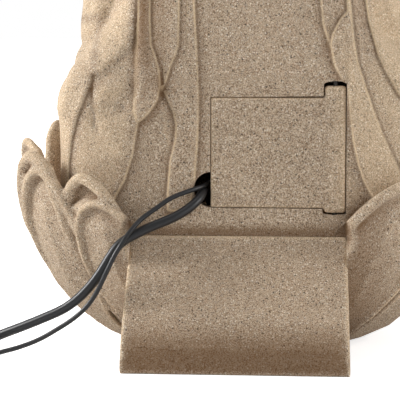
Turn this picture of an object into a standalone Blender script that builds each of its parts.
"""Tabletop water fountain: a seated, robed figure of cast sandstone resin in a lotus basin.

Water stands in the lotus basin. A small submersible pump behind the access door in the back lifts it
through a tube into the bowl on the figure's lap, where it wells up around a lamp, spills over the rim
and falls into the front of the basin. Metres, +Z up; the figure faces -Y, and +X is its own left side.
"""

import math

import bmesh
import bpy
from mathutils import Matrix, Vector

# ---- gaps ---------------------------------------------------------------------------------------
FIT = 0.0003  # between two pieces that touch or slide in one another
DOOR_GAP = 0.0006  # round the access door

# ---- lotus basin --------------------------------------------------------------------------------
LOTUS_Y = 0.017  # the widest line of the lotus
LOTUS_HALF_WIDTH = 0.143
LOTUS_FRONT_REACH = 0.147
LOTUS_REAR_REACH = 0.093
LOTUS_SIDE = (  # height, half-width of the outer side
    (0.0006, 0.070),
    (0.004, 0.082),
    (0.011, 0.097),
    (0.024, 0.112),
    (0.040, 0.1235),
    (0.060, 0.1335),
    (0.078, 0.140),
)
PETAL_SIDE_TOP = 0.126
PETAL_FRONT_TOP = 0.118
PETAL_REAR_TOP = 0.092
PETAL_DIP = 0.012
PETALS = 16
BASIN_WALL = 0.014
PETAL_THICKNESS = 0.006
BASIN_FLOOR = 0.009
LEDGE_TOP = 0.076  # the figure stands on this ledge

# ---- rear foot ----------------------------------------------------------------------------------
FOOT_FRONT_Y = 0.0866
FOOT_REAR_Y = 0.132
FOOT_BOTTOM_WIDTH = 0.1327
FOOT_TOP_WIDTH = 0.128
FOOT_TOP_Y = 0.089
FOOT_HEIGHT = 0.0746
FOOT_SHOULDER = ((0.124, 0.0305), (0.1288, 0.0225), (0.1312, 0.0165), (0.132, 0.0105))
FOOT_WALL = 0.007

# ---- seated figure ------------------------------------------------------------------------------
ROBE_ROWS = (  # height, half-width, front, rear, squareness of the back
    (LEDGE_TOP + FIT, 0.116, -0.088, 0.0862, 6.0),
    (0.084, 0.119, -0.094, 0.0876, 6.0),
    (0.100, 0.121, -0.098, 0.088, 6.0),
    (0.122, 0.119, -0.097, 0.088, 6.0),
    (0.138, 0.114, -0.088, 0.088, 6.0),
    (0.149, 0.1145, -0.024, 0.088, 6.0),
    (0.160, 0.110, -0.018, 0.088, 5.5),
    (0.172, 0.104, -0.016, 0.0875, 5.0),
    (0.184, 0.094, -0.015, 0.086, 4.0),
    (0.200, 0.081, -0.014, 0.0835, 3.4),
    (0.230, 0.074, -0.013, 0.0795, 3.0),
    (0.258, 0.076, -0.014, 0.0755, 2.8),
    (0.280, 0.079, -0.009, 0.071, 2.6),
    (0.292, 0.066, 0.000, 0.065, 2.4),
    (0.300, 0.040, 0.006, 0.056, 2.2),
    (0.305, 0.023, 0.008, 0.048, 2.0),
    (0.322, 0.020, 0.008, 0.046, 2.0),
)
FRONT_SQUARENESS = 2.3
ROBE_WALL = 0.008
BACK_WALL = 0.011
BACK_Y = 0.088  # the flat of the back, where the door lies
ROBE_ROOM_HALF_WIDTH = 0.124  # the petals are cut back to here to let the robe in
ROBE_ROOM_FRONT = -0.100
FOOT_ROOM_HALF_WIDTH = 0.062
CLEAR = 0.2  # a cutter reaches this far past the casting
HOLLOW_TOP = 0.272
LAP_TOP = 0.152
LAP_RADIUS = 0.032
LAP_BOTTOM = 0.130
LAP_HOLE_RADIUS = 0.017
SHOULDER = (0.068, 0.034, 0.276)
ELBOW = (0.0765, 0.026, 0.196)
WRIST = (0.050, -0.038, 0.157)
SHOULDER_RADIUS = 0.021
ELBOW_RADIUS = 0.0245
WRIST_RADIUS = 0.011
HEAD_CENTRE = (0.0, 0.020, 0.352)
HEAD_RADII = (0.031, 0.036, 0.042)
CROWN_BUN_CENTRE = (0.0, 0.025, 0.401)
CROWN_BUN_RADIUS = 0.019
EAR_CENTRE = (0.031, 0.024, 0.346)
EAR_RADII = (0.0055, 0.008, 0.022)

# ---- access door --------------------------------------------------------------------------------
DOOR_FREE_X = 0.0165
DOOR_HINGE_X = -0.0629
DOOR_BOTTOM = 0.0913
DOOR_TOP = 0.1564
DOOR_THICKNESS = 0.0055
TAB_INNER_X = -0.0502
TAB_BOTTOM = 0.0885
TAB_TOP = 0.1634
TAB_SLOT = 0.0014  # the slot that shows above the upper tab
DOOR_EDGE = 0.0008
HINGE_EDGE = 0.002
HINGE_INSET = 0.0063  # from the hinge edge to the hinge axis
HINGE_DEPTH = 0.0035  # from the flat of the back to the hinge axis
PIN_RADIUS = 0.0015
PIN_HALF = 0.0065
LIP_FREE = 0.010
LIP_TOP = 0.0045
MAGNET_RADIUS = 0.0032
MAGNET_THICKNESS = 0.0018
MAGNET_INSET = 0.005
NOTCH_HALF_WIDTH = 0.0105
NOTCH_HALF_HEIGHT = 0.0106
NOTCH_Z = 0.1018

# ---- bowl, spout and lamp -----------------------------------------------------------------------
BOWL_Y = -0.062
BOWL_RADIUS = 0.038
BOWL_HEIGHT = 0.032
BOWL_FOOT_RADIUS = 0.023
BOWL_WALL = 0.0035
BOWL_FLOOR = 0.004
BOWL_HOLE_RADIUS = 0.0062
LEAD_HOLE_X = 0.0125
SPOUT_RADIUS = 0.0055
SPOUT_BORE = 0.0035
SPOUT_TOP = 0.188
SPOUT_FLANGE_RADIUS = 0.0095
SPOUT_FLANGE = 0.002
SPOUT_BARB_RADIUS = 0.0044
SPOUT_BARB = 0.014
NUT_RADIUS = 0.0085
NUT_HEIGHT = 0.004
GASKET_HEIGHT = 0.0012
LAMP_RADIUS = 0.018
LAMP_INNER_RADIUS = 0.0102
LAMP_HEIGHT = 0.0105
LAMP_WALL = 0.0012
LENS_HEIGHT = 0.0022
BOARD_THICKNESS = 0.0016

# ---- pump ---------------------------------------------------------------------------------------
PUMP_FRONT_Y = 0.028
PUMP_REAR_Y = 0.066
PUMP_HALF_WIDTH = 0.022
PUMP_BOTTOM = 0.0125
PUMP_TOP = 0.0505
PUMP_EDGE = 0.002
PUMP_WALL = 0.0035
ROTOR_WELL_RADIUS = 0.0075
ROTOR_WELL_WALL = 0.0015
ROTOR_WELL_END_Y = 0.055
BUSH_RADIUS = 0.003
BUSH_LENGTH = 0.0028
SHAFT_RADIUS = 0.001
MAGNET_CORE_RADIUS = 0.0068
IMPELLER_RADIUS = 0.012
IMPELLER_HUB_RADIUS = 0.0042
IMPELLER_BLADES = 6
IMPELLER_BLADE = 0.0014
CORE_LENGTH = 0.013
COIL_LENGTH = 0.0045
COIL_RADIUS = 0.0148
POTTING_THICKNESS = 0.003
COVER_DEPTH = 0.012
COVER_WALL = 0.0025
CHAMBER_RADIUS = 0.0135
OUTLET_RADIUS = 0.0045
OUTLET_BORE = 0.003
OUTLET_TOP = 0.064
INTAKE_RADIUS = 0.0028
INTAKE_CIRCLE = 0.0085
INTAKES = 3
DIAL_RADIUS = 0.0125
DIAL_THICKNESS = 0.0022
DIAL_TAB = 0.003
STUD_RADIUS = 0.0015
STUD_HEAD_RADIUS = 0.0026
STUD_HEAD = 0.001
SEAL_RADIUS = 0.0155
SEAL_THICKNESS = 0.0012
CUP_RADIUS = 0.006
CUP_STEM_RADIUS = 0.002
CUP_STEM = 0.0022
CUP_INSET = 0.007
GLAND_X = 0.012
GLAND_Y = 0.0595
GLAND_RADIUS = 0.0045
GLAND_TOP_RADIUS = 0.0034
GLAND_HEIGHT = 0.014

# ---- hose ---------------------------------------------------------------------------------------
HOSE_BORE = 0.0048
HOSE_WALL = 0.0014
HOSE_OVERLAP = 0.010

# ---- leads --------------------------------------------------------------------------------------
PUMP_CORD = 0.0056
LAMP_CORD = 0.0028
PUMP_COIL_CENTRE = (0.208, 0.067)
PUMP_COIL_RADIUS = 0.030  # of the middle of its turns
PUMP_COIL_BUNDLE = 0.0174
LAMP_COIL_CENTRE = (0.190, 0.129)
LAMP_COIL_RADIUS = 0.015
LAMP_COIL_BUNDLE = 0.0116
TIE_THICKNESS = 0.0012
TIE_WIDTH = 0.005

# From the cable notch, over the petals beside the rear foot and down to the table.
PUMP_CORD_ROUTE = (
    (0.0213, 0.0800, 0.1009),
    (0.0215, 0.0870, 0.0998),
    (0.0238, 0.0935, 0.0960),
    (0.0305, 0.0990, 0.0907),
    (0.0390, 0.1040, 0.0864),
    (0.0494, 0.1080, 0.0824),
    (0.0580, 0.1110, 0.0785),
    (0.0638, 0.1125, 0.0754),
    (0.0691, 0.1135, 0.0711),
    (0.0738, 0.1145, 0.0642),
    (0.0785, 0.1150, 0.0565),
    (0.0837, 0.1155, 0.0494),
    (0.0905, 0.1155, 0.0420),
    (0.0966, 0.1150, 0.0370),
    (0.1028, 0.1140, 0.0331),
    (0.1150, 0.1115, 0.0273),
    (0.1274, 0.1085, 0.0218),
    (0.1400, 0.1050, 0.0164),
    (0.1520, 0.1010, 0.0106),
    (0.1625, 0.0982, 0.0056),
    (0.1720, 0.0970, 0.0032),
    (0.1840, 0.0970, 0.0031),
)
LAMP_CORD_ROUTE = (
    (0.0185, 0.0800, 0.1050),
    (0.0215, 0.0880, 0.1037),
    (0.0267, 0.0930, 0.1023),
    (0.0382, 0.0995, 0.0984),
    (0.0467, 0.1045, 0.0930),
    (0.0551, 0.1100, 0.0871),
    (0.0611, 0.1155, 0.0806),
    (0.0656, 0.1190, 0.0739),
    (0.0692, 0.1205, 0.0680),
    (0.0724, 0.1210, 0.0617),
    (0.0752, 0.1210, 0.0558),
    (0.0780, 0.1205, 0.0499),
    (0.0815, 0.1200, 0.0435),
    (0.0858, 0.1195, 0.0374),
    (0.0907, 0.1190, 0.0324),
    (0.0962, 0.1185, 0.0280),
    (0.1023, 0.1180, 0.0239),
    (0.1142, 0.1170, 0.0168),
    (0.1263, 0.1160, 0.0117),
    (0.1383, 0.1150, 0.0080),
    (0.1480, 0.1143, 0.0046),
    (0.1570, 0.1140, 0.0021),
    (0.1660, 0.1140, 0.0017),
    (0.1778, 0.1140, 0.0017),
)
PUMP_LEAD_ROUTE = (
    (GLAND_X, GLAND_Y, PUMP_TOP + GLAND_HEIGHT + 2 * FIT),
    (0.0130, 0.0597, 0.0740),
    (0.0160, 0.0608, 0.0860),
    (0.0196, 0.0650, 0.0965),
    (0.0209, 0.0725, 0.1012),
    (0.0212, 0.0780, 0.1013),
)
LAMP_LEAD_ROUTE = (
    (LEAD_HOLE_X, BOWL_Y, LAP_TOP + FIT + BOWL_FLOOR),
    (LEAD_HOLE_X, BOWL_Y, 0.146),
    (0.0128, -0.0590, 0.1340),
    (0.0145, -0.0480, 0.1240),
    (0.0180, -0.0200, 0.1170),
    (0.0200, 0.0150, 0.1115),
    (0.0192, 0.0450, 0.1068),
    (0.0178, 0.0660, 0.1048),
    (0.0183, 0.0790, 0.1051),
)
OUTLET_Y = PUMP_FRONT_Y - COVER_DEPTH / 2
HOSE_ROUTE = (
    (0.0, OUTLET_Y, OUTLET_TOP - HOSE_OVERLAP),
    (0.0, OUTLET_Y, OUTLET_TOP - 0.004),
    (0.0, OUTLET_Y, OUTLET_TOP + 0.001),
    (0.0, OUTLET_Y, OUTLET_TOP + 0.006),
    (0.0, 0.0155, 0.0810),
    (0.0, -0.0050, 0.0930),
    (0.0, -0.0340, 0.1010),
    (0.0, -0.0550, 0.1110),
    (0.0, BOWL_Y, 0.1260),
    (0.0, BOWL_Y, 0.1310),
    (0.0, BOWL_Y, 0.1360),
    (0.0, BOWL_Y, 0.1420),
)

# ---- plug, connector and pads -------------------------------------------------------------------
PLUG_BODY = 0.030
PLUG_RELIEF = 0.022
PLUG_HALF_WIDTH = 0.0125
PLUG_HALF_HEIGHT = 0.009
PLUG_BLADE = (0.0015, 0.0064, 0.0165)  # thickness, width, length
PLUG_BLADE_GAP = 0.0127
CONNECTOR_RADIUS = 0.0045
CONNECTOR_LENGTH = 0.020
CONNECTOR_TIP_RADIUS = 0.00275
CONNECTOR_TIP = 0.0095
PAD_RADIUS = 0.007
PAD_THICKNESS = 0.002
PAD_SINK = 0.0014
PADS = ((0.045, -0.025), (-0.045, -0.025), (0.050, 0.118), (-0.050, 0.118))

# ---- finishes: colour, roughness, metallic ------------------------------------------------------
SANDSTONE = ((0.37, 0.28, 0.19, 1), 0.85, 0.0)
BLACK_PLASTIC = ((0.015, 0.015, 0.016, 1), 0.45, 0.0)
BLACK_RUBBER = ((0.020, 0.020, 0.021, 1), 0.70, 0.0)
STEEL = ((0.56, 0.56, 0.57, 1), 0.30, 1.0)
NICKEL = ((0.62, 0.60, 0.57, 1), 0.20, 1.0)
COPPER = ((0.72, 0.33, 0.15, 1), 0.35, 1.0)
FERRITE = ((0.06, 0.06, 0.065, 1), 0.55, 0.3)
CERAMIC = ((0.80, 0.79, 0.75, 1), 0.25, 0.0)
RESIN = ((0.05, 0.045, 0.04, 1), 0.35, 0.0)
CLEAR_PLASTIC = ((0.75, 0.80, 0.82, 1), 0.12, 0.0)
BOARD_WHITE = ((0.72, 0.74, 0.72, 1), 0.50, 0.0)
HOSE_CLEAR = ((0.62, 0.64, 0.62, 1), 0.30, 0.0)


# ---- shared helpers -----------------------------------------------------------------------------
def add(name, bm, finish=None, at=(0, 0, 0), turn=(0, 0, 0)):
    """Make one object from a bmesh, with its faces pointing out and its round sides smooth."""
    bmesh.ops.recalc_face_normals(bm, faces=bm.faces)
    mesh = bpy.data.meshes.new(name)
    bm.to_mesh(mesh)
    bm.free()
    mesh.shade_smooth()
    mesh.set_sharp_from_angle(angle=math.radians(35))
    piece = bpy.data.objects.new(name, mesh)
    piece.location = at
    piece.rotation_euler = turn
    bpy.context.collection.objects.link(piece)
    if finish:
        give_finish(piece, finish)
    return piece


def give_finish(piece, finish):
    colour, roughness, metallic = finish
    material = bpy.data.materials.new(piece.name)
    material.use_nodes = True
    shader = material.node_tree.nodes["Principled BSDF"]
    shader.inputs["Base Color"].default_value = colour
    shader.inputs["Roughness"].default_value = roughness
    shader.inputs["Metallic"].default_value = metallic
    piece.data.materials.clear()
    piece.data.materials.append(material)


def loft(bm, rings, closed=False):
    """Join rings of equal count into one skin, capped at both ends or closed on itself."""
    made = [[bm.verts.new(point) for point in ring] for ring in rings]
    pairs = list(zip(made, made[1:]))
    if closed:
        pairs.append((made[-1], made[0]))
    count = len(made[0])
    for low, high in pairs:
        for k in range(count):
            after = (k + 1) % count
            bm.faces.new((low[k], low[after], high[after], high[k]))
    if not closed:
        bm.faces.new(made[0])
        bm.faces.new(made[-1])
    return bm


def circle(radius, height, segments, centre=(0, 0)):
    """A level ring of points."""
    angles = [2 * math.pi * k / segments for k in range(segments)]
    return [
        (centre[0] + radius * math.cos(a), centre[1] + radius * math.sin(a), height)
        for a in angles
    ]


def turned(name, profile, finish=None, at=(0, 0, 0), turn=(0, 0, 0), segments=24, closed=False):
    """A turned piece: (radius, height) points, capped at its two ends, or a closed ring."""
    rings = [circle(radius, height, segments) for radius, height in profile]
    return add(name, loft(bmesh.new(), rings, closed), finish, at, turn)


def tube_profile(outer, inner, low, high):
    return ((outer, low), (outer, high), (inner, high), (inner, low))


def block(name, low, high, finish=None, edge=0.0, edge_steps=2):
    """A box between two corners, with its edges rounded by edge."""
    bm = bmesh.new()
    bmesh.ops.create_cube(bm, size=1)
    size = Vector(high) - Vector(low)
    middle = (Vector(high) + Vector(low)) / 2
    for vert in bm.verts:
        vert.co = Vector(c * s for c, s in zip(vert.co, size))
    if edge:
        bmesh.ops.bevel(bm, geom=bm.edges[:], offset=edge, segments=edge_steps, affect="EDGES")
    return add(name, bm, finish, middle)


def prism(name, outline, low, high, finish=None, axis="X"):
    """An outline in the plane across one axis, drawn out along it from low to high."""
    order = {"X": (2, 0, 1), "Y": (0, 2, 1), "Z": (0, 1, 2)}[axis]

    def place(a, b, along):
        values = (a, b, along)
        return tuple(values[k] for k in order)

    rings = [[place(a, b, along) for a, b in outline] for along in (low, high)]
    return add(name, loft(bmesh.new(), rings), finish)


def ball(name, centre, radii, segments=20, rings=12):
    bm = bmesh.new()
    bmesh.ops.create_uvsphere(bm, u_segments=segments, v_segments=rings, radius=1)
    for vert in bm.verts:
        vert.co = Vector(c * r for c, r in zip(vert.co, radii))
    return add(name, bm, at=centre)


def combine(piece, operation, *tools):
    """Join the tools to a piece, cut them from it, or keep what is common; the tools go away."""
    for tool in tools:
        tool.hide_render = True
        tool.display_type = "WIRE"
        modifier = piece.modifiers.new(tool.name, "BOOLEAN")
        modifier.operation = operation
        modifier.solver = "EXACT"
        modifier.object = tool
    depsgraph = bpy.context.evaluated_depsgraph_get()
    result = bpy.data.meshes.new_from_object(piece.evaluated_get(depsgraph))
    piece.modifiers.clear()
    piece.data = result
    for tool in tools:
        bpy.data.objects.remove(tool)
    return piece


def smooth_path(route, step):
    """Evenly spaced points, step apart, on a smooth curve through the route's points."""
    points = [Vector(p) for p in route]
    points = [2 * points[0] - points[1], *points, 2 * points[-1] - points[-2]]
    fine = []
    for a, b, c, d in zip(points, points[1:], points[2:], points[3:]):
        for k in range(16):
            t = k / 16
            fine.append(
                0.5
                * (
                    2 * b
                    + (c - a) * t
                    + (2 * a - 5 * b + 4 * c - d) * t**2
                    + (3 * b - a - 3 * c + d) * t**3
                )
            )
    fine.append(points[-2])
    lengths = [0.0]
    for a, b in zip(fine, fine[1:]):
        lengths.append(lengths[-1] + (b - a).length)
    count = max(2, round(lengths[-1] / step))
    made = []
    k = 0
    for n in range(count + 1):
        want = lengths[-1] * n / count
        while k < len(fine) - 2 and lengths[k + 1] < want:
            k += 1
        share = (want - lengths[k]) / max(lengths[k + 1] - lengths[k], 1e-9)
        made.append(fine[k].lerp(fine[k + 1], min(share, 1.0)))
    return made


def cord(name, route, diameter, finish, sides=2):
    """A round cord along a route, as a curve with filled ends."""
    points = smooth_path(route, 2.5 * diameter)
    curve = bpy.data.curves.new(name, "CURVE")
    curve.dimensions = "3D"
    curve.bevel_depth = diameter / 2
    curve.bevel_resolution = sides
    curve.use_fill_caps = True
    spline = curve.splines.new("POLY")
    spline.points.add(len(points) - 1)
    for slot, point in zip(spline.points, points):
        slot.co = (*point, 1)
    piece = bpy.data.objects.new(name, curve)
    bpy.context.collection.objects.link(piece)
    give_finish(piece, finish)
    return piece


def hose(name, route, outer, inner, finish, segments=10):
    """A hollow hose along a route in the plane X = 0."""
    points = smooth_path(route, HOSE_BORE * 2)
    walls = []
    for k, point in enumerate(points):
        along = (points[min(k + 1, len(points) - 1)] - points[max(k - 1, 0)]).normalized()
        side = Vector((1, 0, 0))
        up = along.cross(side)
        angles = [2 * math.pi * n / segments for n in range(segments)]
        walls.append([(point, side * math.cos(a) + up * math.sin(a)) for a in angles])
    rings = [[point + way * outer for point, way in ring] for ring in walls]
    rings += [[point + way * inner for point, way in ring] for ring in reversed(walls)]
    return add(name, loft(bmesh.new(), rings, closed=True), finish)


def oval(height, half_width, middle, front, rear, front_power, rear_power, segments):
    """A level ring: half-width to each side, reaching front and rear from its middle line."""
    points = []
    for k in range(segments):
        angle = 2 * math.pi * k / segments
        across, along = math.cos(angle), math.sin(angle)
        power = rear_power if along > 0 else front_power
        reach = rear - middle if along > 0 else middle - front
        x = half_width * math.copysign(abs(across) ** (2 / power), across)
        y = middle + reach * math.copysign(abs(along) ** (2 / power), along)
        points.append((x, y, height))
    return points


# ---- castings -----------------------------------------------------------------------------------
def lotus_ring(half_width, heights, segments):
    """A ring of the lotus side; heights is one height, or a rule that gives it for an angle."""
    share = half_width / LOTUS_HALF_WIDTH
    front = LOTUS_Y - LOTUS_FRONT_REACH * share
    rear = LOTUS_Y + LOTUS_REAR_REACH * share
    flat = oval(0.0, half_width, LOTUS_Y, front, rear, 2.0, 2.0, segments)
    if callable(heights):
        return [
            (x, y, heights(2 * math.pi * k / segments)) for k, (x, y, _) in enumerate(flat)
        ]
    return [(x, y, heights) for x, y, _ in flat]


def petal_top(share):
    """The height of the petals round the rim, as a rule of the angle, share of the way up."""

    def height(angle):
        rear = max(0.0, math.sin(angle)) ** 2
        front = max(0.0, -math.sin(angle)) ** 2
        top = PETAL_SIDE_TOP
        top += (PETAL_REAR_TOP - PETAL_SIDE_TOP) * rear
        top += (PETAL_FRONT_TOP - PETAL_SIDE_TOP) * front
        top -= PETAL_DIP * (1 - abs(math.cos(PETALS * angle / 2)))
        base = LOTUS_SIDE[-1][0]
        return base + (top - base) * share

    return height


def rear_foot_outline(grow):
    """The side view of the rear foot, grown by a gap."""
    outline = [(FOOT_FRONT_Y - grow, LOTUS_SIDE[0][0] - grow)]
    outline.append((FOOT_FRONT_Y - grow, FOOT_HEIGHT + grow))
    outline.append((FOOT_TOP_Y + grow, FOOT_HEIGHT + grow))
    outline += [(y + grow, z + grow) for y, z in FOOT_SHOULDER]
    outline.append((FOOT_REAR_Y + grow, LOTUS_SIDE[0][0] - grow))
    return outline


def foot_solid(name, grow, finish=None):
    """The wedge of the rear foot, a little narrower at its top."""

    def half_width(z):
        share = z / FOOT_HEIGHT
        return (FOOT_BOTTOM_WIDTH + (FOOT_TOP_WIDTH - FOOT_BOTTOM_WIDTH) * share) / 2 + grow

    outline = rear_foot_outline(grow)
    rings = [[(side * half_width(z), y, z) for y, z in outline] for side in (-1, 1)]
    return add(name, loft(bmesh.new(), rings), finish)


def make_basin():
    segments = 80
    rings = [lotus_ring(width, height, segments) for height, width in LOTUS_SIDE]
    rings += [lotus_ring(LOTUS_HALF_WIDTH, petal_top(share), segments) for share in (0.45, 0.9)]
    rings.append(lotus_ring(LOTUS_HALF_WIDTH - 0.001, petal_top(1.0), segments))
    inside = LOTUS_HALF_WIDTH - PETAL_THICKNESS
    rings.append(lotus_ring(inside, petal_top(0.97), segments))
    rings.append(lotus_ring(inside - 0.002, LEDGE_TOP, segments))
    basin = add("lotus_basin", loft(bmesh.new(), rings), SANDSTONE)

    rear_wall_y = FOOT_FRONT_Y - FIT - FOOT_WALL
    pool = [(BASIN_FLOOR, LOTUS_SIDE[2][1] - BASIN_WALL)]
    for height, width in LOTUS_SIDE:
        if BASIN_FLOOR + 0.004 < height < LEDGE_TOP - 0.010:
            pool.append((height, width - BASIN_WALL))
    pool.append((LEDGE_TOP + 0.004, LOTUS_SIDE[-1][1] - 0.004 - BASIN_WALL))
    rings = []
    for height, width in pool:
        ring = lotus_ring(width, height, 40)
        rings.append([(x, min(y, rear_wall_y), z) for x, y, z in ring])
    pool_cutter = add("pool", loft(bmesh.new(), rings))
    foot_space = foot_solid("foot_space", FIT)
    robe_room = []
    for height in (LEDGE_TOP, ROBE_ROWS[4][0]):
        room = oval(height, ROBE_ROOM_HALF_WIDTH, 0.0, ROBE_ROOM_FRONT, BACK_Y + 0.002, 2.3, 6.0, 44)
        robe_room.append(room)
    robe_cutter = add("robe_room", loft(bmesh.new(), robe_room))
    low = (-FOOT_ROOM_HALF_WIDTH, BACK_Y - 0.010, LEDGE_TOP)
    behind = block("behind", low, (FOOT_ROOM_HALF_WIDTH, CLEAR, CLEAR))
    pads = [pad_room(n) for n, (x, y) in enumerate(PADS) if y < FOOT_FRONT_Y]
    return combine(basin, "DIFFERENCE", pool_cutter, foot_space, robe_cutter, behind, *pads)


def pad_room(number):
    x, y = PADS[number]
    low = LOTUS_SIDE[0][0] - PAD_THICKNESS
    high = LOTUS_SIDE[0][0] + PAD_SINK + FIT
    return turned(f"pad_room_{number}", ((PAD_RADIUS + FIT, low), (PAD_RADIUS + FIT, high)), at=(x, y, 0))


def make_rear_foot():
    foot = foot_solid("rear_foot", 0.0, SANDSTONE)
    hollow_low = LOTUS_SIDE[0][0] + PAD_SINK + 0.004
    outline = [(FOOT_FRONT_Y - 0.002, hollow_low), (FOOT_FRONT_Y - 0.002, FOOT_HEIGHT - 0.022)]
    outline += [(y - FOOT_WALL - 0.002, z - 0.002) for y, z in FOOT_SHOULDER if z > hollow_low + 0.004]
    outline.append((FOOT_REAR_Y - FOOT_WALL - 0.002, hollow_low))
    half = FOOT_TOP_WIDTH / 2 - FOOT_WALL
    hollow = prism("foot_hollow", outline, -half, half)
    pads = [pad_room(n) for n, (x, y) in enumerate(PADS) if y > FOOT_FRONT_Y]
    return combine(foot, "DIFFERENCE", hollow, *pads)


def robe_rings(inset, back_inset, segments):
    """The rings of the robe, or of the hollow inside it when the insets are more than nothing."""
    rings = []
    for height, half_width, front, rear, squareness in ROBE_ROWS:
        if inset and height - inset > HOLLOW_TOP:
            break
        rings.append(
            oval(
                height - inset,
                half_width - inset,
                (front + rear) / 2 if height > 0.145 else 0.0,
                front + inset,
                rear - back_inset,
                FRONT_SQUARENESS,
                squareness,
                segments,
            )
        )
    return rings


def limb(name, joints, radii, segments=16):
    """A sleeve: a tapering round tube through its joints, with ball ends."""
    points = [Vector(p) for p in joints]
    bm = bmesh.new()
    rings = []
    for k, (point, radius) in enumerate(zip(points, radii)):
        before = points[max(k - 1, 0)]
        after = points[min(k + 1, len(points) - 1)]
        along = (after - before).normalized()
        side = along.cross(Vector((0, 1, 0.2))).normalized()
        up = along.cross(side)
        offsets = {0: (-0.7, -0.35, 0.0), len(points) - 1: (0.0, 0.35, 0.7)}.get(k, (0.0,))
        for offset in offsets:
            size = radius * math.sqrt(1 - offset**2)
            middle = point + along * radius * offset
            angles = [2 * math.pi * n / segments for n in range(segments)]
            rings.append([middle + (side * math.cos(a) + up * math.sin(a)) * size for a in angles])
    return add(name, loft(bm, rings))


def make_figure():
    figure = add("seated_figure", loft(bmesh.new(), robe_rings(0.0, 0.0, 44)), SANDSTONE)
    parts = [
        ball("head", HEAD_CENTRE, HEAD_RADII),
        ball("crown_bun", CROWN_BUN_CENTRE, (CROWN_BUN_RADIUS,) * 3, 16, 10),
        turned(
            "lap",
            ((LAP_RADIUS, LAP_BOTTOM), (LAP_RADIUS, LAP_TOP - 0.002), (LAP_RADIUS - 0.002, LAP_TOP)),
            at=(0, BOWL_Y, 0),
            segments=28,
        ),
    ]
    for side in (-1, 1):
        def mirrored(place, side=side):
            return (side * place[0], place[1], place[2])

        parts.append(ball(f"ear_{side}", mirrored(EAR_CENTRE), EAR_RADII, 12, 8))
        parts.append(
            limb(
                f"sleeve_{side}",
                [mirrored(SHOULDER), mirrored(ELBOW), mirrored(WRIST)],
                (SHOULDER_RADIUS, ELBOW_RADIUS, WRIST_RADIUS),
            )
        )
    combine(figure, "UNION", *parts)

    hollow = add("robe_hollow", loft(bmesh.new(), robe_rings(ROBE_WALL, BACK_WALL, 28)))
    through_lap = ((LAP_HOLE_RADIUS, LAP_BOTTOM - 0.02), (LAP_HOLE_RADIUS, LAP_TOP + 0.01))
    lap_hole = turned("lap_hole", through_lap, at=(0, BOWL_Y, 0))
    combine(figure, "DIFFERENCE", hollow, lap_hole)
    return combine(figure, "DIFFERENCE", *door_cutters())


def hinge_place(height):
    return (DOOR_HINGE_X + HINGE_INSET, BACK_Y - HINGE_DEPTH, height)


def door_cutters():
    """The recess, opening, hinge slots, pin bores, magnet seat and cable notch in the back."""
    out = BACK_Y + 0.02
    seat = BACK_Y - DOOR_THICKNESS - FIT
    through = BACK_Y - BACK_WALL - 0.006
    left = DOOR_HINGE_X - DOOR_GAP
    recess = block(
        "door_recess",
        (left, seat, DOOR_BOTTOM - DOOR_GAP),
        (DOOR_FREE_X + DOOR_GAP, out, DOOR_TOP + DOOR_GAP),
    )
    opening = block(
        "door_opening",
        (left + 0.0001, through, DOOR_BOTTOM + LIP_TOP),
        (DOOR_FREE_X - LIP_FREE, out, DOOR_TOP - LIP_TOP),
    )
    hinge_room = block(
        "hinge_room",
        (left - 0.0001, through - 0.001, TAB_BOTTOM - DOOR_GAP),
        (TAB_INNER_X + DOOR_GAP, out + 0.001, TAB_TOP + TAB_SLOT),
    )
    bore = PIN_RADIUS + FIT
    pins = turned(
        "pin_bores",
        ((bore, TAB_BOTTOM - PIN_HALF - 2 * FIT), (bore, TAB_TOP + PIN_HALF + 2 * FIT)),
        at=hinge_place(0),
        segments=16,
    )
    magnet_room = turned(
        "jamb_magnet_room",
        ((MAGNET_RADIUS + FIT, -MAGNET_THICKNESS - 2 * FIT), (MAGNET_RADIUS + FIT, 0.004)),
        at=magnet_place(seat),
        turn=(-math.pi / 2, 0, 0),
        segments=16,
    )
    outline = []
    for k in range(13):
        angle = math.pi * (k / 12 - 0.5)
        x = DOOR_FREE_X - 0.0004 + NOTCH_HALF_WIDTH * math.cos(angle)
        outline.append((x, NOTCH_Z + NOTCH_HALF_HEIGHT * math.sin(angle)))
    notch = prism("cable_notch", outline, through + 0.0005, out + 0.002, axis="Y")
    return recess, opening, hinge_room, pins, magnet_room, notch


def magnet_place(y):
    return (DOOR_FREE_X - MAGNET_INSET, y, (DOOR_BOTTOM + DOOR_TOP) / 2)


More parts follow.
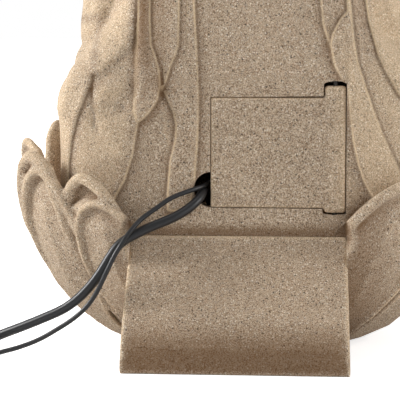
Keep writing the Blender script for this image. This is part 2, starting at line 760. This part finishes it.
def make_door():
    """The plate with its two hinge tabs; its hinge edge is rounded, so that it can swing."""
    inner = BACK_Y - DOOR_THICKNESS
    hinge = Vector(hinge_place(0))
    plate = block(
        "access_door",
        (TAB_INNER_X - 0.004, inner, DOOR_BOTTOM),
        (DOOR_FREE_X, BACK_Y, DOOR_TOP),
        SANDSTONE,
        DOOR_EDGE,
        1,
    )
    outline = []
    corners = ((DOOR_HINGE_X, inner), (DOOR_HINGE_X, BACK_Y))
    for corner, (x, y) in enumerate(corners):
        start = (math.pi * 1.5, math.pi)[corner]
        middle = (x + HINGE_EDGE, y + (HINGE_EDGE, -HINGE_EDGE)[corner])
        for k in range(4):
            angle = start - k * math.pi / 6
            outline.append(
                (middle[0] + HINGE_EDGE * math.cos(angle), middle[1] + HINGE_EDGE * math.sin(angle))
            )
    outline.append((TAB_INNER_X, BACK_Y))
    outline.append((TAB_INNER_X, inner))
    tab = prism("hinge_tab", outline, TAB_BOTTOM, TAB_TOP, axis="Z")
    combine(plate, "UNION", tab)
    bores = []
    for n, (low, high) in enumerate(
        ((TAB_BOTTOM - 0.01, TAB_BOTTOM + PIN_HALF + FIT), (TAB_TOP - PIN_HALF - FIT, TAB_TOP + 0.01))
    ):
        bore = PIN_RADIUS + FIT
        bores.append(turned(f"bore_{n}", ((bore, low), (bore, high)), at=hinge_place(0), segments=16))
    magnet_room = turned(
        "door_magnet_room",
        ((MAGNET_RADIUS + FIT, -0.004), (MAGNET_RADIUS + FIT, MAGNET_THICKNESS + 2 * FIT)),
        at=magnet_place(inner),
        turn=(-math.pi / 2, 0, 0),
        segments=16,
    )
    combine(plate, "DIFFERENCE", *bores, magnet_room)
    plate.data.transform(Matrix.Translation(plate.location - hinge))
    plate.location = hinge
    return plate


def make_door_hardware():
    for name, middle in (("upper_hinge_pin", TAB_TOP), ("lower_hinge_pin", TAB_BOTTOM)):
        profile = ((PIN_RADIUS, -PIN_HALF), (PIN_RADIUS, PIN_HALF))
        turned(name, profile, STEEL, hinge_place(middle), segments=16)
    inner = BACK_Y - DOOR_THICKNESS
    profile = ((MAGNET_RADIUS, 0), (MAGNET_RADIUS, MAGNET_THICKNESS))
    flat = (-math.pi / 2, 0, 0)
    turned("door_magnet", profile, NICKEL, magnet_place(inner + FIT), flat, 16)
    jamb_y = inner - 2 * FIT - MAGNET_THICKNESS
    turned("jamb_magnet", profile, NICKEL, magnet_place(jamb_y), flat, 16)


# ---- bowl, spout and lamp -----------------------------------------------------------------------
def make_bowl():
    base = LAP_TOP + FIT
    top = base + BOWL_HEIGHT
    floor = base + BOWL_FLOOR
    inner = BOWL_RADIUS - BOWL_WALL
    profile = [(BOWL_FOOT_RADIUS, base), (BOWL_FOOT_RADIUS + 0.002, base + 0.003)]
    for k in range(1, 6):
        angle = k * math.pi / 10
        swell = BOWL_RADIUS - BOWL_FOOT_RADIUS - 0.002
        profile.append(
            (
                BOWL_FOOT_RADIUS + 0.002 + swell * math.sin(angle),
                base + 0.003 + (BOWL_HEIGHT - 0.007) * (1 - math.cos(angle)),
            )
        )
    profile += [(BOWL_RADIUS, top - 0.001), (BOWL_RADIUS - 0.001, top), (inner + 0.0005, top)]
    profile.append((inner, top - 0.002))
    for k in range(4, 0, -1):
        angle = k * math.pi / 10
        swell = inner - BOWL_FOOT_RADIUS
        profile.append(
            (
                BOWL_FOOT_RADIUS + swell * math.sin(angle),
                floor + (BOWL_HEIGHT - BOWL_FLOOR - 0.004) * (1 - math.cos(angle)),
            )
        )
    profile += [(BOWL_FOOT_RADIUS - 0.002, floor), (BOWL_HOLE_RADIUS, floor), (BOWL_HOLE_RADIUS, base)]
    bowl = turned("water_bowl", profile, SANDSTONE, (0, BOWL_Y, 0), segments=28, closed=True)
    lead_hole = turned(
        "lead_hole",
        ((LAMP_CORD / 2 + FIT, base - 0.01), (LAMP_CORD / 2 + FIT, floor + 0.01)),
        at=(LEAD_HOLE_X, BOWL_Y, 0),
        segments=12,
    )
    return combine(bowl, "DIFFERENCE", lead_hole)


def make_spout():
    """The spout hangs in the bowl's hole by its flange, over a gasket, with a nut from below."""
    base = LAP_TOP + FIT
    seat = base + BOWL_FLOOR + GASKET_HEIGHT + 2 * FIT
    nut_top = base - FIT
    barb_low = nut_top - NUT_HEIGHT - 0.002 - SPOUT_BARB
    profile = (
        (SPOUT_BARB_RADIUS, barb_low),
        (SPOUT_BARB_RADIUS, nut_top - NUT_HEIGHT - 0.002),
        (SPOUT_RADIUS, nut_top - NUT_HEIGHT - 0.002),
        (SPOUT_RADIUS, seat),
        (SPOUT_FLANGE_RADIUS, seat),
        (SPOUT_FLANGE_RADIUS, seat + SPOUT_FLANGE),
        (SPOUT_RADIUS, seat + SPOUT_FLANGE),
        (SPOUT_RADIUS, SPOUT_TOP - 0.001),
        (SPOUT_RADIUS - 0.001, SPOUT_TOP),
        (SPOUT_BORE, SPOUT_TOP),
        (SPOUT_BORE, barb_low),
    )
    place = (0, BOWL_Y, 0)
    turned("spout_nozzle", profile, BLACK_PLASTIC, place, segments=20, closed=True)
    nut = []
    for radius, height in tube_profile(NUT_RADIUS, SPOUT_RADIUS + FIT, nut_top - NUT_HEIGHT, nut_top):
        nut.append(circle(radius, height, 24))
    for ring in nut[:2]:
        for k, (x, y, z) in enumerate(ring):
            flat = NUT_RADIUS * math.cos(math.pi / 6)
            turn = (2 * math.pi * k / 24) % (math.pi / 3) - math.pi / 6
            scale = flat / math.cos(turn) / NUT_RADIUS
            ring[k] = (x * scale, y * scale, z)
    add("spout_nut", loft(bmesh.new(), nut, closed=True), BLACK_PLASTIC, place)
    low = base + BOWL_FLOOR + FIT
    profile = tube_profile(SPOUT_FLANGE_RADIUS, SPOUT_RADIUS + FIT, low, low + GASKET_HEIGHT)
    turned("spout_gasket", profile, BLACK_RUBBER, place, segments=20, closed=True)


def make_lamp():
    """A ring of light round the spout: a cup-shaped ring housing, a lit board and a clear lens."""
    base = LAP_TOP + 2 * FIT + BOWL_FLOOR
    top = base + LAMP_HEIGHT
    floor = base + 0.002
    place = (0, BOWL_Y, 0)
    profile = (
        (LAMP_RADIUS, base),
        (LAMP_RADIUS, top),
        (LAMP_RADIUS - LAMP_WALL, top),
        (LAMP_RADIUS - LAMP_WALL, floor),
        (LAMP_INNER_RADIUS + LAMP_WALL, floor),
        (LAMP_INNER_RADIUS + LAMP_WALL, top),
        (LAMP_INNER_RADIUS, top),
        (LAMP_INNER_RADIUS, base),
    )
    housing = turned("lamp_housing", profile, BLACK_PLASTIC, place, segments=28, closed=True)
    hole = turned(
        "lamp_lead_hole",
        ((LAMP_CORD / 2 + FIT, base - 0.001), (LAMP_CORD / 2 + FIT, floor + 0.001)),
        at=(LEAD_HOLE_X + 0.0015, BOWL_Y, 0),
        segments=12,
    )
    combine(housing, "DIFFERENCE", hole)
    outer = LAMP_RADIUS - LAMP_WALL - FIT
    inner = LAMP_INNER_RADIUS + LAMP_WALL + FIT
    low = floor + 0.001
    board = tube_profile(outer, inner, low, low + BOARD_THICKNESS)
    turned("lamp_board", board, BOARD_WHITE, place, segments=24, closed=True)
    lens = tube_profile(outer, inner, top - LENS_HEIGHT, top - FIT)
    turned("lamp_lens", lens, CLEAR_PLASTIC, place, segments=28, closed=True)


# ---- pump ---------------------------------------------------------------------------------------
PUMP_Z = (PUMP_BOTTOM + PUMP_TOP) / 2
ALONG_Y = (-math.pi / 2, 0, 0)  # stands a turned piece's height along +Y


def pump_turned(name, profile, finish=None, **more):
    """A turned piece on the pump's axis: (radius, y) points."""
    return turned(name, profile, finish, (0, 0, PUMP_Z), ALONG_Y, **more)


def make_pump_body():
    body = block(
        "pump_body",
        (-PUMP_HALF_WIDTH, PUMP_FRONT_Y, PUMP_BOTTOM),
        (PUMP_HALF_WIDTH, PUMP_REAR_Y, PUMP_TOP),
        BLACK_PLASTIC,
        PUMP_EDGE,
        2,
    )
    well_outer = ROTOR_WELL_RADIUS + ROTOR_WELL_WALL
    well_end = ROTOR_WELL_END_Y + BUSH_LENGTH + FIT + ROTOR_WELL_WALL
    pocket = block(
        "stator_pocket",
        (-PUMP_HALF_WIDTH + PUMP_WALL, PUMP_FRONT_Y + 0.008, PUMP_BOTTOM + PUMP_WALL),
        (PUMP_HALF_WIDTH - PUMP_WALL, PUMP_REAR_Y + 0.01, PUMP_TOP - PUMP_WALL),
    )
    combine(body, "DIFFERENCE", pocket)
    well_wall = ((well_outer, PUMP_FRONT_Y + 0.004), (well_outer, well_end))
    combine(body, "UNION", pump_turned("well", well_wall))
    well = (
        (ROTOR_WELL_RADIUS, PUMP_FRONT_Y - 0.01),
        (ROTOR_WELL_RADIUS, ROTOR_WELL_END_Y),
        (BUSH_RADIUS + FIT, ROTOR_WELL_END_Y),
        (BUSH_RADIUS + FIT, ROTOR_WELL_END_Y + BUSH_LENGTH + FIT),
    )
    cuts = [pump_turned("well_bore", well)]
    cuts.append(
        pump_turned(
            "seal_groove",
            tube_profile(
                SEAL_RADIUS + SEAL_THICKNESS / 2 + FIT,
                SEAL_RADIUS - SEAL_THICKNESS / 2 - FIT,
                PUMP_FRONT_Y - 0.01,
                PUMP_FRONT_Y + SEAL_THICKNESS,
            ),
            closed=True,
        )
    )
    for n, (x, y) in enumerate(cup_places()):
        stem = ((CUP_STEM_RADIUS + FIT, 0), (CUP_STEM_RADIUS + FIT, CUP_STEM + FIT))
        cuts.append(turned(f"cup_seat_{n}", stem, at=(x, y, PUMP_BOTTOM - 0.0001), segments=12))
    return combine(body, "DIFFERENCE", *cuts)


def cup_places():
    x = PUMP_HALF_WIDTH - CUP_INSET
    return [(s * x, y) for y in (PUMP_FRONT_Y + CUP_INSET, PUMP_REAR_Y - CUP_INSET) for s in (-1, 1)]


def make_motor():
    """The stator round the rotor well, and the rotor on its fixed ceramic shaft."""
    well_outer = ROTOR_WELL_RADIUS + ROTOR_WELL_WALL + FIT
    start = PUMP_FRONT_Y + 0.008 + FIT
    half = PUMP_HALF_WIDTH - PUMP_WALL - FIT
    low, high = PUMP_BOTTOM + PUMP_WALL + FIT, PUMP_TOP - PUMP_WALL - FIT
    core = block("stator_core", (-half, start, low), (half, start + CORE_LENGTH, high), STEEL)
    bore = pump_turned("core_bore", ((well_outer, start - 0.01), (well_outer, start + CORE_LENGTH + 0.01)))
    combine(core, "DIFFERENCE", bore)
    coil_low = start + CORE_LENGTH + FIT
    coil = tube_profile(COIL_RADIUS, well_outer, coil_low, coil_low + COIL_LENGTH)
    pump_turned("stator_coil", coil, COPPER, segments=28, closed=True)
    block(
        "pump_potting",
        (-half, PUMP_REAR_Y - POTTING_THICKNESS, low),
        (half, PUMP_REAR_Y - FIT, high),
        RESIN,
    )
    bore = SHAFT_RADIUS + FIT
    magnet = tube_profile(MAGNET_CORE_RADIUS, bore, PUMP_FRONT_Y + 0.001, ROTOR_WELL_END_Y - 0.001)
    pump_turned("rotor_magnet", magnet, FERRITE, closed=True)
    make_impeller()
    front_bush_end = PUMP_FRONT_Y - COVER_DEPTH + COVER_WALL + BUSH_LENGTH - 0.001
    front_bush = tube_profile(BUSH_RADIUS, bore, front_bush_end - BUSH_LENGTH, front_bush_end)
    pump_turned("front_shaft_bush", front_bush, BLACK_RUBBER, segments=16, closed=True)
    rear = ROTOR_WELL_END_Y + FIT / 2
    rear_bush = tube_profile(BUSH_RADIUS, bore, rear, rear + BUSH_LENGTH)
    pump_turned("rear_shaft_bush", rear_bush, BLACK_RUBBER, segments=16, closed=True)
    shaft = ((SHAFT_RADIUS, front_bush_end - BUSH_LENGTH), (SHAFT_RADIUS, rear + BUSH_LENGTH - FIT))
    pump_turned("rotor_shaft", shaft, CERAMIC, segments=12)


def make_impeller():
    """A hub on the shaft, a back plate and straight blades."""
    front = PUMP_FRONT_Y - COVER_DEPTH + COVER_WALL + BUSH_LENGTH - 0.001 + 2 * FIT
    back = PUMP_FRONT_Y + 0.001 - FIT
    plate = PUMP_FRONT_Y - 0.002
    hub = tube_profile(IMPELLER_HUB_RADIUS, SHAFT_RADIUS + FIT, front, back)
    impeller = pump_turned("impeller", hub, BLACK_PLASTIC, closed=True)
    plate_ring = tube_profile(IMPELLER_RADIUS - 0.001, IMPELLER_HUB_RADIUS - 0.001, plate, plate + 0.0012)
    parts = [pump_turned("plate", plate_ring, segments=28, closed=True)]
    for n in range(IMPELLER_BLADES):
        blade = block(
            f"blade_{n}",
            (IMPELLER_HUB_RADIUS - 0.001, front + 0.0005, -IMPELLER_BLADE / 2),
            (IMPELLER_RADIUS, plate + 0.0006, IMPELLER_BLADE / 2),
        )
        turn = 2 * math.pi * n / IMPELLER_BLADES
        middle = blade.location.copy()
        reach = middle.x
        blade.location = (reach * math.cos(turn), middle.y, PUMP_Z + reach * math.sin(turn))
        blade.rotation_euler = (0, -turn, 0)
        parts.append(blade)
    return combine(impeller, "UNION", *parts)


def make_pump_cover():
    """The chamber cover: intake holes in front, the outlet on top and the stud that holds the dial."""
    front = PUMP_FRONT_Y - COVER_DEPTH
    rear = PUMP_FRONT_Y - FIT
    middle_y = PUMP_FRONT_Y - COVER_DEPTH / 2
    edge_gap = 0.002
    cover = block(
        "pump_cover",
        (-PUMP_HALF_WIDTH + edge_gap, front, PUMP_BOTTOM + edge_gap),
        (PUMP_HALF_WIDTH - edge_gap, rear, PUMP_TOP - edge_gap),
        BLACK_PLASTIC,
        0.0015,
        1,
    )
    chamber = pump_turned("chamber", ((CHAMBER_RADIUS, front + COVER_WALL), (CHAMBER_RADIUS, rear + 0.01)))
    combine(cover, "DIFFERENCE", chamber)
    bush_end = front + COVER_WALL + BUSH_LENGTH - 0.001
    boss = pump_turned("boss", ((BUSH_RADIUS + 0.0015, front + 0.001), (BUSH_RADIUS + 0.0015, bush_end)))
    stud = pump_turned(
        "stud",
        (
            (STUD_HEAD_RADIUS, front - DIAL_THICKNESS - 2 * FIT - STUD_HEAD),
            (STUD_HEAD_RADIUS, front - DIAL_THICKNESS - 2 * FIT),
            (STUD_RADIUS, front - DIAL_THICKNESS - 2 * FIT),
            (STUD_RADIUS, front + 0.001),
        ),
        segments=16,
    )
    outlet = turned(
        "outlet",
        ((OUTLET_RADIUS, PUMP_TOP - 0.004), (OUTLET_RADIUS, OUTLET_TOP)),
        at=(0, middle_y, 0),
        segments=20,
    )
    combine(cover, "UNION", boss, stud, outlet)
    cuts = [
        turned(
            "outlet_bore",
            ((OUTLET_BORE, PUMP_Z + 0.004), (OUTLET_BORE, OUTLET_TOP + 0.01)),
            at=(0, middle_y, 0),
            segments=16,
        )
    ]
    seat = bush_end - BUSH_LENGTH - FIT
    bush_bore = ((BUSH_RADIUS + FIT, seat), (BUSH_RADIUS + FIT, bush_end + 0.01))
    cuts.append(pump_turned("bush_seat", bush_bore, segments=16))
    for n in range(INTAKES):
        cuts.append(intake(f"intake_{n}", n, front - 0.005, front + COVER_WALL + 0.002))
    return combine(cover, "DIFFERENCE", *cuts)


def intake(name, number, low, high):
    angle = 2 * math.pi * number / INTAKES + math.pi / 2
    place = (INTAKE_CIRCLE * math.cos(angle), 0, PUMP_Z + INTAKE_CIRCLE * math.sin(angle))
    return turned(name, ((INTAKE_RADIUS, low), (INTAKE_RADIUS, high)), at=place, turn=ALONG_Y, segments=16)


def make_dial():
    """A disc with holes that line up with the intakes, and shut them when it turns."""
    front = PUMP_FRONT_Y - COVER_DEPTH
    high = front - FIT
    low = high - DIAL_THICKNESS
    dial = pump_turned(
        "flow_dial",
        tube_profile(DIAL_RADIUS, STUD_RADIUS + FIT, low, high),
        BLACK_PLASTIC,
        segments=30,
        closed=True,
    )
    inset = DIAL_THICKNESS / 8
    tab = block(
        "dial_tab",
        (-0.0025, low + inset, -DIAL_RADIUS - DIAL_TAB),
        (0.0025, high - inset, -DIAL_RADIUS + 0.002),
    )
    tab.location.z += PUMP_Z
    combine(dial, "UNION", tab)
    holes = [intake(f"dial_hole_{n}", n, low - 0.01, high + 0.01) for n in range(INTAKES)]
    return combine(dial, "DIFFERENCE", *holes)


def make_pump_small_parts():
    groove = tube_profile(
        SEAL_RADIUS + SEAL_THICKNESS / 2,
        SEAL_RADIUS - SEAL_THICKNESS / 2,
        PUMP_FRONT_Y,
        PUMP_FRONT_Y + SEAL_THICKNESS - FIT,
    )
    pump_turned("chamber_seal", groove, BLACK_RUBBER, segments=28, closed=True)
    floor = BASIN_FLOOR + FIT
    cup = (
        (CUP_RADIUS - 0.0012, floor),
        (CUP_RADIUS, floor),
        (CUP_RADIUS - 0.001, floor + 0.0008),
        (CUP_STEM_RADIUS + 0.001, PUMP_BOTTOM - 2 * FIT),
        (CUP_STEM_RADIUS, PUMP_BOTTOM - 2 * FIT),
        (CUP_STEM_RADIUS, PUMP_BOTTOM + CUP_STEM - FIT),
        (0.0006, PUMP_BOTTOM + CUP_STEM - FIT),
        (0.0006, floor + 0.0012),
    )
    for n, (x, y) in enumerate(cup_places()):
        turned(f"suction_cup_{n + 1}", cup, BLACK_RUBBER, (x, y, 0), segments=12, closed=True)
    relief = (
        (GLAND_RADIUS, PUMP_TOP + FIT),
        (GLAND_RADIUS, PUMP_TOP + 0.003),
        (GLAND_TOP_RADIUS, PUMP_TOP + GLAND_HEIGHT),
    )
    turned("pump_cord_gland", relief, BLACK_RUBBER, (GLAND_X, GLAND_Y, 0), segments=16)


# ---- cords and what is on them ------------------------------------------------------------------
def make_coil(name, centre, radius, bundle, tie_angle, finish):
    """The outer shape of a wound coil, lying on its tie, as a turned ring."""
    sides = 16
    corner = 1 / math.cos(math.pi / sides)
    bow = TIE_WIDTH**2 / (8 * (radius - bundle / 2))  # the coil curves away inside a straight tie
    inner = (bundle / 2 + bow + FIT) * corner
    outer = inner + TIE_THICKNESS
    middle = outer + FIT
    section = []
    for k in range(8):
        angle = 2 * math.pi * (k + 0.5) / 8
        across, up = bundle / 2 * math.cos(angle), bundle / 2 * math.sin(angle)
        section.append((radius + across, middle + up))
    turned(name, section, finish, (*centre, 0), segments=30, closed=True)
    rings = []
    for along, reach in ((-1, inner), (-1, outer), (1, outer), (1, inner)):
        flat = circle(reach, along * TIE_WIDTH / 2, sides)
        rings.append([(x, y_along, z) for x, z, y_along in flat])
    place = (
        centre[0] + radius * math.cos(tie_angle),
        centre[1] + radius * math.sin(tie_angle),
        middle,
    )
    tie = name.replace("coil", "tie")
    add(tie, loft(bmesh.new(), rings, closed=True), BLACK_RUBBER, place, (0, 0, tie_angle))


def make_plug():
    """A two-blade mains plug, lying flat, with its tapered strain relief towards the coil."""
    x = PUMP_COIL_CENTRE[0] + PUMP_COIL_RADIUS
    reach = PUMP_COIL_RADIUS + PUMP_COIL_BUNDLE / 2
    inner = PUMP_COIL_RADIUS - PUMP_CORD / 2
    rear = PUMP_COIL_CENTRE[1] - math.sqrt(reach**2 - inner**2)
    relief_end = rear - PLUG_RELIEF
    front = relief_end - PLUG_BODY
    height = PLUG_HALF_HEIGHT + FIT
    plug = block(
        "pump_plug",
        (x - PLUG_HALF_WIDTH, front, height - PLUG_HALF_HEIGHT),
        (x + PLUG_HALF_WIDTH, relief_end, height + PLUG_HALF_HEIGHT),
        BLACK_RUBBER,
        0.003,
    )
    relief = turned(
        "plug_relief",
        ((PUMP_CORD / 2 + 0.0005, 0), (0.0062, PLUG_RELIEF), (0.0068, PLUG_RELIEF + 0.004)),
        at=(x, rear, height),
        turn=(math.pi / 2, 0, 0),
        segments=16,
    )
    thick, wide, long = PLUG_BLADE
    blades = []
    for side in (-1, 1):
        middle = x + side * PLUG_BLADE_GAP / 2
        blades.append(
            block(
                f"blade_{side}",
                (middle - thick / 2, front - long, height - wide / 2),
                (middle + thick / 2, front + 0.004, height + wide / 2),
            )
        )
    return combine(plug, "UNION", relief, *blades)


def make_connector():
    """A round low-voltage connector with a bored metal-tipped nose."""
    reach = LAMP_COIL_RADIUS + LAMP_COIL_BUNDLE / 2
    inner = LAMP_COIL_RADIUS - LAMP_CORD / 2
    rear = LAMP_COIL_CENTRE[1] + math.sqrt(reach**2 - inner**2)
    profile = (
        (LAMP_CORD / 2 + 0.0004, 0),
        (LAMP_CORD / 2 + 0.0012, 0.009),
        (CONNECTOR_RADIUS - 0.0005, 0.011),
        (CONNECTOR_RADIUS, 0.012),
        (CONNECTOR_RADIUS, 0.011 + CONNECTOR_LENGTH),
        (CONNECTOR_TIP_RADIUS, 0.011 + CONNECTOR_LENGTH),
        (CONNECTOR_TIP_RADIUS, 0.011 + CONNECTOR_LENGTH + CONNECTOR_TIP),
        (0.0012, 0.011 + CONNECTOR_LENGTH + CONNECTOR_TIP),
        (0.0012, 0.013 + CONNECTOR_LENGTH),
    )
    place = (LAMP_COIL_CENTRE[0] + LAMP_COIL_RADIUS, rear, CONNECTOR_RADIUS + FIT)
    turned("lamp_connector", profile, BLACK_PLASTIC, place, ALONG_Y, segments=18)


def make_cords():
    cord("pump_cord", PUMP_CORD_ROUTE, PUMP_CORD, BLACK_RUBBER, 3)
    cord("lamp_cord", LAMP_CORD_ROUTE, LAMP_CORD, BLACK_RUBBER)
    cord("pump_lead_inner", PUMP_LEAD_ROUTE, PUMP_CORD, BLACK_RUBBER, 3)
    cord("lamp_lead_inner", LAMP_LEAD_ROUTE, LAMP_CORD, BLACK_RUBBER)
    make_coil("pump_cord_coil", PUMP_COIL_CENTRE, PUMP_COIL_RADIUS, PUMP_COIL_BUNDLE, -2.0, BLACK_RUBBER)
    make_coil("lamp_cord_coil", LAMP_COIL_CENTRE, LAMP_COIL_RADIUS, LAMP_COIL_BUNDLE, 2.2, BLACK_RUBBER)
    make_plug()
    make_connector()


def make_pads():
    for n, (x, y) in enumerate(PADS):
        low = LOTUS_SIDE[0][0] + PAD_SINK - PAD_THICKNESS
        profile = ((PAD_RADIUS, low), (PAD_RADIUS, low + PAD_THICKNESS))
        turned(f"foot_pad_{n + 1}", profile, BLACK_RUBBER, (x, y, 0), segments=20)


def main():
    for old in list(bpy.data.objects):
        bpy.data.objects.remove(old)
    make_basin()
    make_rear_foot()
    make_figure()
    make_door()
    make_door_hardware()
    make_bowl()
    make_spout()
    make_lamp()
    make_pump_body()
    make_motor()
    make_pump_cover()
    make_dial()
    make_pump_small_parts()
    hose("delivery_hose", HOSE_ROUTE, HOSE_BORE + HOSE_WALL, HOSE_BORE, HOSE_CLEAR)
    make_cords()
    make_pads()


main()
